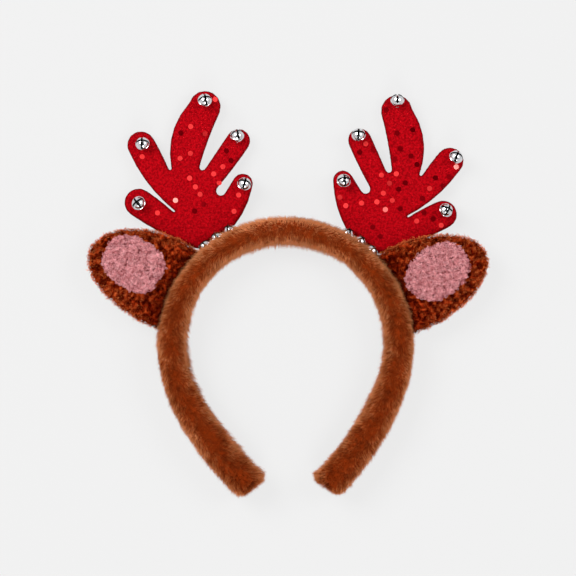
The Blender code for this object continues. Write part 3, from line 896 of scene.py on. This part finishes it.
def stuffed(node_name, step, cap, frames):
    """A node's solid swollen by its stuffing, with its rim held by the seam."""
    form = even_copy(node_name, step, EAR_SMOOTHING)
    points, normals = places(form)
    still = points.copy()
    item = linked("stuffed", form)
    move(form, points * EAR_SIM_SCALE)
    rim = item.vertex_groups.new(name="rim")
    held = [k for k in range(len(points)) if abs(normals[k, 2]) < RIM_SLOPE]
    rim.add(held, 1.0, "ADD")
    swell = item.modifiers.new("swell", "CLOTH")
    swell.settings.use_pressure = True
    swell.settings.uniform_pressure_force = EAR_PRESSURE
    swell.settings.effector_weights.gravity = 0
    swell.settings.vertex_group_mass = "rim"
    for count in range(1, frames + 1):
        scene.frame_set(count)
    made = applied(item)
    scene.frame_set(1)
    swollen, _ = places(made)
    step_out = swollen / EAR_SIM_SCALE - still
    size = np.linalg.norm(step_out, axis=1, keepdims=True)
    step_out *= np.minimum(1, cap / np.maximum(size, 1e-9))
    move(made, still + step_out)
    return made


def knots(mesh, inset, size, height, dip=0, leans=()):
    """Raises rounded knots all over a mesh, and marks how high on them each point is, with painted
    shade in the crevices and near the hoop and painted light along the edge.
    """
    points, normals = places(mesh)
    points -= normals * inset
    for degrees, amount in leans:
        bearing = math.radians(degrees)
        toward = np.array((math.cos(bearing), math.sin(bearing), 0))
        points += toward * (amount * np.clip(normals @ toward, 0, 1) ** 2)[:, None]
    outward, from_hoop = beyond_hoop(points)
    tuck = EAR_TUCK * np.clip(1 - from_hoop / EAR_TUCK_REACH, 0, 1)
    points -= outward * tuck[:, None]
    middle, half = np.mean(points[:, 1]), np.ptp(points[:, 1]) / 2
    near = bump(np.clip(from_hoop, 0, None), 0, EAR_DIP_REACH)
    points[:, 1] -= dip * near * np.clip((points[:, 1] - middle) / half, 0, 1)
    crest_and_shade = crest_at(points, size)
    move(mesh, points + normals * (crest_and_shade * height)[:, None])
    # Painted shade: darker in the crevices and near the hoop; painted light along the edge.
    edge = 1 - np.abs(normals[:, 2])
    lit = crest_and_shade * (1 - HOOP_SHADE * by_hoop(points))
    mark(mesh, "crest_and_shade", np.maximum(lit, COVER_EDGE_PAINTED_LIGHT * edge))


def crest_at(points, size):
    """How high each point is between the crevices of cloth knotted to a size."""
    spread = points / size + KNOT_WANDER * drift(points, size * KNOT_WANDER_SIZE, seed=3)
    apart = np.array([noise.voronoi(Vector(p))[0][0] for p in spread])
    return np.clip(1 - (apart / KNOT_REACH) ** 2, 0, 1)


def beyond_hoop(points):
    """Level directions away from the hoop's middle, and distances outside its fur."""
    out = points - HOOP_MIDDLE
    out[:, 2] = 0
    return unit(out), np.linalg.norm(out, axis=1) - HOOP_RADIUS - HOOP_WIDTH / 2


def by_hoop(points):
    """From 1 where a point nears the hoop's fur to 0 well outside it."""
    return np.exp(-np.clip(beyond_hoop(points)[1], 0, None) / EAR_SHADE_REACH)


teddy = cloth(
    "teddy_cloth",
    [
        (0.00, (0.050, 0.001, 0.000)),
        (0.40, (0.220, 0.014, 0.002)),
        (0.80, (0.46, 0.060, 0.012)),
        (1.00, (0.75, 0.170, 0.045)),
    ],
    "crest_and_shade",
    size=260,
    depth=0.45,
    Roughness=0.95,
    Specular_IOR_Level=0.0,
)
curl_wool = cloth(
    "teddy_curls",
    [
        (0.00, (0.070, 0.002, 0.000)),
        (0.40, (0.38, 0.042, 0.006)),
        (1.00, (1.00, 0.300, 0.090)),
    ],
    "along",
    size=260,
    depth=0.30,
    low=0.32,
    high=0.66,
    through=0.55,
    Roughness=0.9,
    Specular_IOR_Level=0.0,
)


def curls_on(mesh):
    """Short fibres that swirl round the middle of each tuft."""
    count = CURLS
    where, facing = scatter(mesh, count)
    tufts = random.choice(count, size=round(count * CURL_TUFTS), replace=False)
    lead = tufts[nearest(where, where[tufts])]
    away = where - where[lead]
    sense = np.where(random.random(count) > 0.5, 1.0, -1.0)[lead][:, None]
    swirl = np.cross(facing, away) * sense
    swirl /= np.maximum(np.linalg.norm(swirl, axis=1, keepdims=True), 1e-5)
    inward = -away / np.maximum(np.linalg.norm(away, axis=1, keepdims=True), 1e-5)
    edge = np.clip(1 - np.abs(facing[:, 2]), 0, 1)
    longer = 1 + CURL_EDGE_LONGER * edge
    reach = CURL_LENGTH * (random.uniform(*CURL_LENGTHS, count) * longer)[:, None]
    loose = random.normal(scale=CURL_LOOSE, size=(count, 3))
    root = where - facing * CURL_ROOT
    middle = where + reach * (MIDDLE_OUT * facing + MIDDLE_ROUND * swirl + MIDDLE_LOOSE * loose)
    tip = where + reach * (TIP_OUT * facing + TIP_ROUND * swirl + TIP_IN * inward + loose)
    own = random.random(count) * CURL_TONE_SPREAD - CURL_TONE_SPREAD / 2
    own += (random.random(count)[lead] - 0.5) * CURL_TUFT_TONE
    # Painted shade in the crevices and by the hoop, painted light at the edge.
    own += CREVICE_SHADE_SHARE * (crest_at(where, KNOT_SIZE) - CREVICE_SHADE_MIDDLE) - CURL_HOOP_PAINTED_SHADE * by_hoop(where)
    own += CURL_EDGE_PAINTED_LIGHT * edge
    at_root, at_middle, at_tip = (tone + own for tone in CURL_TONES)
    along = np.stack([at_root, at_middle, at_middle, at_middle, at_tip], axis=1).ravel()
    radius = CURL_RADIUS * random.uniform(*CURL_THICKNESS, count)
    ring = ring_of(middle, radius, *square_to(unit(tip - root)))
    return mesh_of("curls", *spindles(root, ring, tip), along=along)


for side in ("left", "right"):
    form = stuffed(f"ear_{side}", EAR_STEP, EAR_SWELL, EAR_FRAMES)
    knots(form, EAR_INSET, KNOT_SIZE, KNOT_HEIGHT, EAR_DIP[side], EAR_LEANS[side])
    ear = put(f"ear_cover_{side}", form, teddy, "teddy", f"ear_{side}")
    form.shade_smooth()
    put(f"ear_curls_{side}", curls_on(form), curl_wool, "teddy", f"ear_{side}")

# The patches: ovals of dusty pink looped cloth, sewn on the ears' faces. The yarn stands
# in small snarled loops that leave dark pinholes between them, where the cloth under them
# is painted darker in its crevices as painted shade. On each patch a few loops are tugged
# together at one place, given by its x and y.
PATCH_STEP = 0.0008
PATCH_SWELL = 0.0006
PATCH_FRAMES = 8
PATCH_INSET = 0.0007
PATCH_KNOT_SIZE = 0.0015
PATCH_KNOT_HEIGHT = 0.0004
LOOPS = 1350
LOOP_POINTS = 9
LOOP_SIDES = 3
LOOP_RADIUS = 0.00064
LOOP_SPREAD = (0.7, 1.35)
LOOP_LEAN = 0.55
LOOP_LIFT = 0.00045
LOOP_LOWEST = -0.2
YARN_RADIUS = 0.00014
YARN_TONES = (0.2, 1.0)
SNARL_WIDTH = (0.30, 0.22)
SNARL_HEIGHT = (0.35, 0.25)
TUG_REACH = 0.0026
TUGGED = {"left": (-0.0896, 0.0004), "right": (0.0872, -0.0036)}

# Painted shade: the cloth under the loops darkens in its crevices and near the hoop.
patch_cloth = cloth(
    "loop_backing",
    [(0, (0.12, 0.018, 0.021)), (1, (0.36, 0.09, 0.10))],
    "crest_and_shade",
    size=300,
    depth=0.3,
    Roughness=1.0,
)
yarn = cloth(
    "loop_yarn",
    [(0, (0.34, 0.075, 0.085)), (0.5, (0.75, 0.275, 0.29)), (1, (0.97, 0.49, 0.505))],
    "along",
    size=500,
    depth=0.42,
    Roughness=0.9,
    Specular_IOR_Level=0.05,
)


def loops_on(mesh, tugged):
    """Snarled closed loops of yarn, standing on the cloth, a few tugged to one place."""
    where, facing = scatter(mesh, LOOPS * 2)
    upper = facing[:, 2] > LOOP_LOWEST
    where, facing = where[upper][:LOOPS], facing[upper][:LOOPS]
    count = len(where)
    to_tug = np.array(tugged) - where[:, :2]
    apart = np.linalg.norm(to_tug, axis=1)
    where[:, :2] += to_tug * (apart < TUG_REACH)[:, None]
    lean = unit(facing + random.normal(scale=LOOP_LEAN, size=(count, 3)))
    across, beside = square_to(lean)
    turns = np.arange(LOOP_POINTS) * 2 * np.pi / LOOP_POINTS
    first, second = (random.uniform(0, 2 * np.pi, (count, 1)) for _ in range(2))
    size = LOOP_RADIUS * random.uniform(*LOOP_SPREAD, (count, 1))
    twofold, threefold = SNARL_WIDTH
    radius = 1 + twofold * np.sin(2 * turns + first) + threefold * np.sin(3 * turns + second)
    radius = size * radius
    twofold, threefold = SNARL_HEIGHT
    rise = twofold * np.sin(2 * turns + second) + threefold * np.sin(3 * turns + first)
    rise = size * rise
    path = (where + facing * LOOP_LIFT)[:, None, :]
    path = path + (radius * np.cos(turns))[..., None] * across[:, None, :]
    path = path + (radius * np.sin(turns))[..., None] * beside[:, None, :]
    path = path + rise[..., None] * lean[:, None, :]
    line = unit(np.roll(path, -1, axis=1) - np.roll(path, 1, axis=1))
    side = unit(np.cross(line, lean[:, None, :] + 0 * line))
    over = np.cross(line, side)
    rings = []
    for k in range(LOOP_SIDES):
        turn = 2 * math.pi * k / LOOP_SIDES
        rings.append(path + YARN_RADIUS * (math.cos(turn) * side + math.sin(turn) * over))
    points = np.stack(rings, axis=2).reshape(-1, 3)
    loop, ring, k = np.meshgrid(
        np.arange(count), np.arange(LOOP_POINTS), np.arange(LOOP_SIDES), indexing="ij"
    )
    start = loop * LOOP_POINTS * LOOP_SIDES
    here = start + ring * LOOP_SIDES
    after = start + (ring + 1) % LOOP_POINTS * LOOP_SIDES
    next_k = (k + 1) % LOOP_SIDES
    quads = np.stack([here + k, here + next_k, after + next_k, after + k], axis=-1)
    tone = np.repeat(random.uniform(*YARN_TONES, count), LOOP_POINTS * LOOP_SIDES)
    return mesh_of("loops", points, quads.reshape(-1, 4), along=tone)


for side in ("left", "right"):
    form = stuffed(f"ear_patch_{side}", PATCH_STEP, PATCH_SWELL, PATCH_FRAMES)
    knots(form, PATCH_INSET, PATCH_KNOT_SIZE, PATCH_KNOT_HEIGHT)
    patch = put(f"patch_cover_{side}", form, patch_cloth, "boucle", f"ear_patch_{side}")
    form.shade_smooth()
    loops = loops_on(form, TUGGED[side])
    put(f"patch_loops_{side}", loops, yarn, "boucle", f"ear_patch_{side}")

# The jingle bells: two cups of thin nickel-plated sheet, pressed together at a rim, with
# crossed slots in the front and a wire loop at the back, where thread holds them down.
# CUP, HOLLOW and SLOT angles are degrees from the top of the ball.
BELL_SIDES = 40
BELL_WALL = 0.00035
BELL_SHARP = 35
CUP_START = 8
CUP_END = 84
CUP_STEPS = 10
HOLLOW_START = 10
HOLLOW_STEPS = 12
RIM_WIDTH = 0.0002
RIM_HALF_HEIGHT = 0.00022
SLOT_WIDTH = 0.0011
SLOT_HEIGHT = 0.006
SLOT_END = 72
HOLE_RADIUS = 0.00075
HOLE_DEPTH = 0.002
HOLE_SIDES = 16
SHANK_HEIGHT = 0.001
SHANK_SINK = 0.35
SHANK_RADIUS = 0.00065
SHANK_STEPS = 16
WIRE_RADIUS = 0.00018
WIRE_SIDES = 8

# How each bell has turned, in degrees: its tilt from upright, the bearing that it tilts
# towards, and the turn of its slots.
Bell = namedtuple("Bell", "node tilt bearing turn")
TIP_BELLS = (
    Bell("bell_left_tall", 32, 80, 12),
    Bell("bell_left_outer_upper", 32, 100, 0),
    Bell("bell_left_outer_lower", 20, 150, 38),
    Bell("bell_left_inner_upper", 50, 90, 15),
    Bell("bell_left_inner_lower", 32, 70, -15),
    Bell("bell_right_tall", 55, 90, 0),
    Bell("bell_right_outer_upper", 38, 65, -20),
    Bell("bell_right_outer_lower", 30, 30, -25),
    Bell("bell_right_inner_upper", 32, 92, -3),
    Bell("bell_right_inner_lower", 25, 70, 5),
)
BASE_BELL_TILT = 45
BASE_BELL_TURN = 20


def lathe(bm, profile, sides):
    """Turns a profile of (radius, height) round +Z into a surface."""
    loops = []
    for radius, height in profile:
        if radius == 0:
            loops.append([bm.verts.new((0, 0, height))])
            continue
        ring = []
        for k in range(sides):
            turn = 2 * math.pi * k / sides
            ring.append(bm.verts.new((radius * math.cos(turn), radius * math.sin(turn), height)))
        loops.append(ring)
    for first, second in zip(loops, loops[1:]):
        for k in range(sides):
            after = (k + 1) % sides
            if len(first) == 1:
                bm.faces.new((first[0], second[k], second[after]))
            elif len(second) == 1:
                bm.faces.new((first[after], first[k], second[0]))
            else:
                bm.faces.new((first[after], first[k], second[k], second[after]))


def ball_profile(radius, first, last, steps):
    """Radii and heights along a ball, between two angles in degrees from its top."""
    return [
        (radius * math.sin(a), radius * math.cos(a))
        for a in (math.radians(first + (last - first) * k / steps) for k in range(steps + 1))
    ]


def slot_cutters():
    """Meshes of two crossed slots over the front, with a round hole at each slot's end."""
    end = math.radians(SLOT_END)
    reach, low = BELL_RADIUS * math.sin(end), BELL_RADIUS * math.cos(end)
    cutters = []
    for quarter in range(2):
        bm = bmesh.new()
        bmesh.ops.create_cube(bm, size=1)
        bmesh.ops.scale(bm, vec=(2 * reach, SLOT_WIDTH, SLOT_HEIGHT), verts=bm.verts)
        bmesh.ops.translate(bm, vec=(0, 0, low + SLOT_HEIGHT / 2), verts=bm.verts)
        turn = Matrix.Rotation(quarter * math.pi / 2, 3, "Z")
        bmesh.ops.rotate(bm, cent=(0, 0, 0), matrix=turn, verts=bm.verts)
        cutters.append(bm)
    for quarter in range(4):
        aim = Matrix.Rotation(quarter * math.pi / 2, 4, "Z") @ Matrix.Rotation(end, 4, "Y")
        bm = bmesh.new()
        bmesh.ops.create_cone(
            bm,
            cap_ends=True,
            segments=HOLE_SIDES,
            radius1=HOLE_RADIUS,
            radius2=HOLE_RADIUS,
            depth=HOLE_DEPTH,
            matrix=aim @ Matrix.Translation((0, 0, BELL_RADIUS)),
        )
        cutters.append(bm)
    return cutters


def add_shank(bm):
    """Closed ring of wire under the bell."""
    middle = -BELL_RADIUS - SHANK_HEIGHT * SHANK_SINK
    rings = []
    for k in range(SHANK_STEPS):
        turn = 2 * math.pi * k / SHANK_STEPS
        out = Vector((math.cos(turn), 0, math.sin(turn)))
        centre = Vector((0, 0, middle)) + SHANK_RADIUS * out
        ring = []
        for j in range(WIRE_SIDES):
            round_wire = 2 * math.pi * j / WIRE_SIDES
            away = math.cos(round_wire) * out + math.sin(round_wire) * Vector((0, 1, 0))
            ring.append(bm.verts.new(centre + WIRE_RADIUS * away))
        rings.append(ring)
    for here, after in zip(rings, rings[1:] + rings[:1]):
        for j in range(WIRE_SIDES):
            beside = (j + 1) % WIRE_SIDES
            bm.faces.new((here[j], after[j], after[beside], here[beside]))
    bmesh.ops.recalc_face_normals(bm, faces=bm.faces[-SHANK_STEPS * WIRE_SIDES :])


def bell_mesh():
    """Bell with its slots on +Z, its wire loop on -Z and its rim round the middle."""
    bm = bmesh.new()
    rim = BELL_RADIUS + RIM_WIDTH
    outer = [(0, BELL_RADIUS)] + ball_profile(BELL_RADIUS, CUP_START, CUP_END, CUP_STEPS)
    outer += [(rim, RIM_HALF_HEIGHT), (rim, -RIM_HALF_HEIGHT)]
    outer += ball_profile(BELL_RADIUS, 180 - CUP_END, 180 - CUP_START, CUP_STEPS)
    lathe(bm, outer + [(0, -BELL_RADIUS)], BELL_SIDES)
    hollow = BELL_RADIUS - BELL_WALL
    inner = ball_profile(hollow, 180 - HOLLOW_START, HOLLOW_START, HOLLOW_STEPS)
    lathe(bm, [(0, -hollow)] + inner + [(0, hollow)], BELL_SIDES)
    shell = bpy.data.meshes.new("shell")
    bm.to_mesh(shell)
    bm.free()
    item = linked("shell", shell)
    cutters = []
    for number, bm in enumerate(slot_cutters()):
        mesh = bpy.data.meshes.new("slot")
        bm.to_mesh(mesh)
        bm.free()
        cutters.append(linked(f"slot_{number}", mesh))
        cut = item.modifiers.new(f"slot_{number}", "BOOLEAN")
        cut.operation = "DIFFERENCE"
        cut.solver = "EXACT"
        cut.object = cutters[-1]
    bpy.context.view_layer.update()
    slotted = applied(item)
    for cutter in cutters:
        bpy.data.objects.remove(cutter)
    bm = bmesh.new()
    bm.from_mesh(slotted)
    add_shank(bm)
    bm.to_mesh(slotted)
    bm.free()
    slotted.shade_smooth()
    slotted.set_sharp_from_angle(angle=math.radians(BELL_SHARP))
    return slotted


# Painted shade: the inside of each bell is near black, for the dark hollow behind the slots.
bell_inside_shade = plain(
    "bell_inside_painted_shade",
    Base_Color=(0.008, 0.007, 0.007, 1),
    Roughness=0.8,
    Specular_IOR_Level=0.1,
)
nickel = plain("nickel_plate", Base_Color=(0.70, 0.70, 0.72, 1), Metallic=1, Roughness=0.10)


def bell_centre(node_name, axis):
    """Centre of a bell's ball, from the sides of its box that the shank doesn't reach."""
    low, high = (np.array(corner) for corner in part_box(node_name))
    return Vector(np.where(np.array(axis) > 0, high - BELL_RADIUS, low + BELL_RADIUS))


bell_shell = bell_mesh()
bell_rows = list(TIP_BELLS)
for name in BASE_BELL_NODES:
    low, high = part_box(name)
    x, y = (low[0] + high[0]) / 2, (low[1] + high[1]) / 2
    bearing = math.degrees(math.atan2(y + HOOP_RADIUS, x))
    turn = BASE_BELL_TURN * (int(name[-1]) - 1)
    bell_rows.append(Bell(name, BASE_BELL_TILT, bearing, turn))
for row in bell_rows:
    tilt, bearing, turn = (math.radians(value) for value in (row.tilt, row.bearing, row.turn))
    lean = Matrix.Rotation(bearing, 4, "Z") @ Matrix.Rotation(tilt, 4, "Y")
    aim = lean @ Matrix.Rotation(turn - bearing, 4, "Z")
    axis = aim @ Vector((0, 0, 1))
    item = linked(f"{row.node}_shell", bell_shell)
    item.matrix_world = Matrix.Translation(bell_centre(row.node, axis)) @ aim
    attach(item, "root")
    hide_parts(row.node)
bell_shell.materials.clear()
bell_shell.materials.append(nickel)
bell_shell.materials.append(bell_inside_shade)
# Faces inside the wall take the painted shade.
for face in bell_shell.polygons:
    inside = face.center.length < BELL_RADIUS - BELL_WALL / 2
    face.material_index = int(inside)

# The table: a plain pale sheet under the headband, with a camera straight above it and
# soft light from large panels.
FLOOR_REACH = 3
CAMERA_HEIGHT = 2.2
CAMERA_SIGHT = 20
VIEW_LEVEL = 0.010
VIEW_MIDDLE = (0.0014, -0.0323)
VIEW_WIDTH = 0.3283
SENSOR = 0.036

floor_mesh = bpy.data.meshes.new("floor")
bm = bmesh.new()
bmesh.ops.create_grid(bm, x_segments=1, y_segments=1, size=FLOOR_REACH)
bm.to_mesh(floor_mesh)
bm.free()
floor = linked("floor", floor_mesh)
paper = plain(
    "pale_paper",
    Base_Color=(0.07, 0.07, 0.07, 1),
    Emission_Color=(1, 1, 1, 1),
    Emission_Strength=0.744,
    Roughness=0.9,
    Specular_IOR_Level=0.1,
)
floor_mesh.materials.append(paper)

camera = linked("camera", bpy.data.cameras.new("camera"))
camera.location = (*VIEW_MIDDLE, CAMERA_HEIGHT)
camera.data.sensor_width = SENSOR * 1000
camera.data.lens = SENSOR * 1000 * (CAMERA_HEIGHT - VIEW_LEVEL) / VIEW_WIDTH
camera.data.clip_end = CAMERA_SIGHT
scene.camera = camera

Panel = namedtuple("Panel", "name place size watts")
PANELS = (
    Panel("panel_left", (-0.9, 0.6, 1.3), 0.9, 30),
    Panel("panel_right", (1.0, 0.3, 1.2), 0.7, 12.5),
    Panel("panel_front", (0.1, -1.1, 1.0), 0.8, 10.5),
)
PANEL_AIM = Vector((0, -0.03, 0))
for row in PANELS:
    light = bpy.data.lights.new(row.name, "AREA")
    light.size = row.size
    light.energy = row.watts
    item = linked(row.name, light)
    item.location = row.place
    aim = PANEL_AIM - Vector(row.place)
    item.rotation_euler = aim.to_track_quat("-Z", "Y").to_euler()

# The room is dim straight above, where the camera hangs, and bright all round.
ROOM_STOPS = ((0.00, 0.8), (0.50, 0.8), (0.66, 1.1), (0.86, 0.8), (0.93, 0.25), (1.00, 0.10))
ROOM_GLOW = 0.77
world = bpy.data.worlds.new("studio")
scene.world = world
world.use_nodes = True
room = world.node_tree
toward = room.nodes.new("ShaderNodeTexCoord")
split = room.nodes.new("ShaderNodeSeparateXYZ")
level = node(room, "ShaderNodeMapRange", From_Min=-1)
bands = ramp_of(room, [(place, (shade,) * 3) for place, shade in ROOM_STOPS])
room.links.new(toward.outputs["Generated"], split.inputs["Vector"])
room.links.new(split.outputs["Z"], level.inputs["Value"])
room.links.new(level.outputs["Result"], bands.inputs["Fac"])
room.links.new(bands.outputs["Color"], room.nodes["Background"].inputs["Color"])
room.nodes["Background"].inputs["Strength"].default_value = ROOM_GLOW
scene.view_settings.view_transform = "Standard"
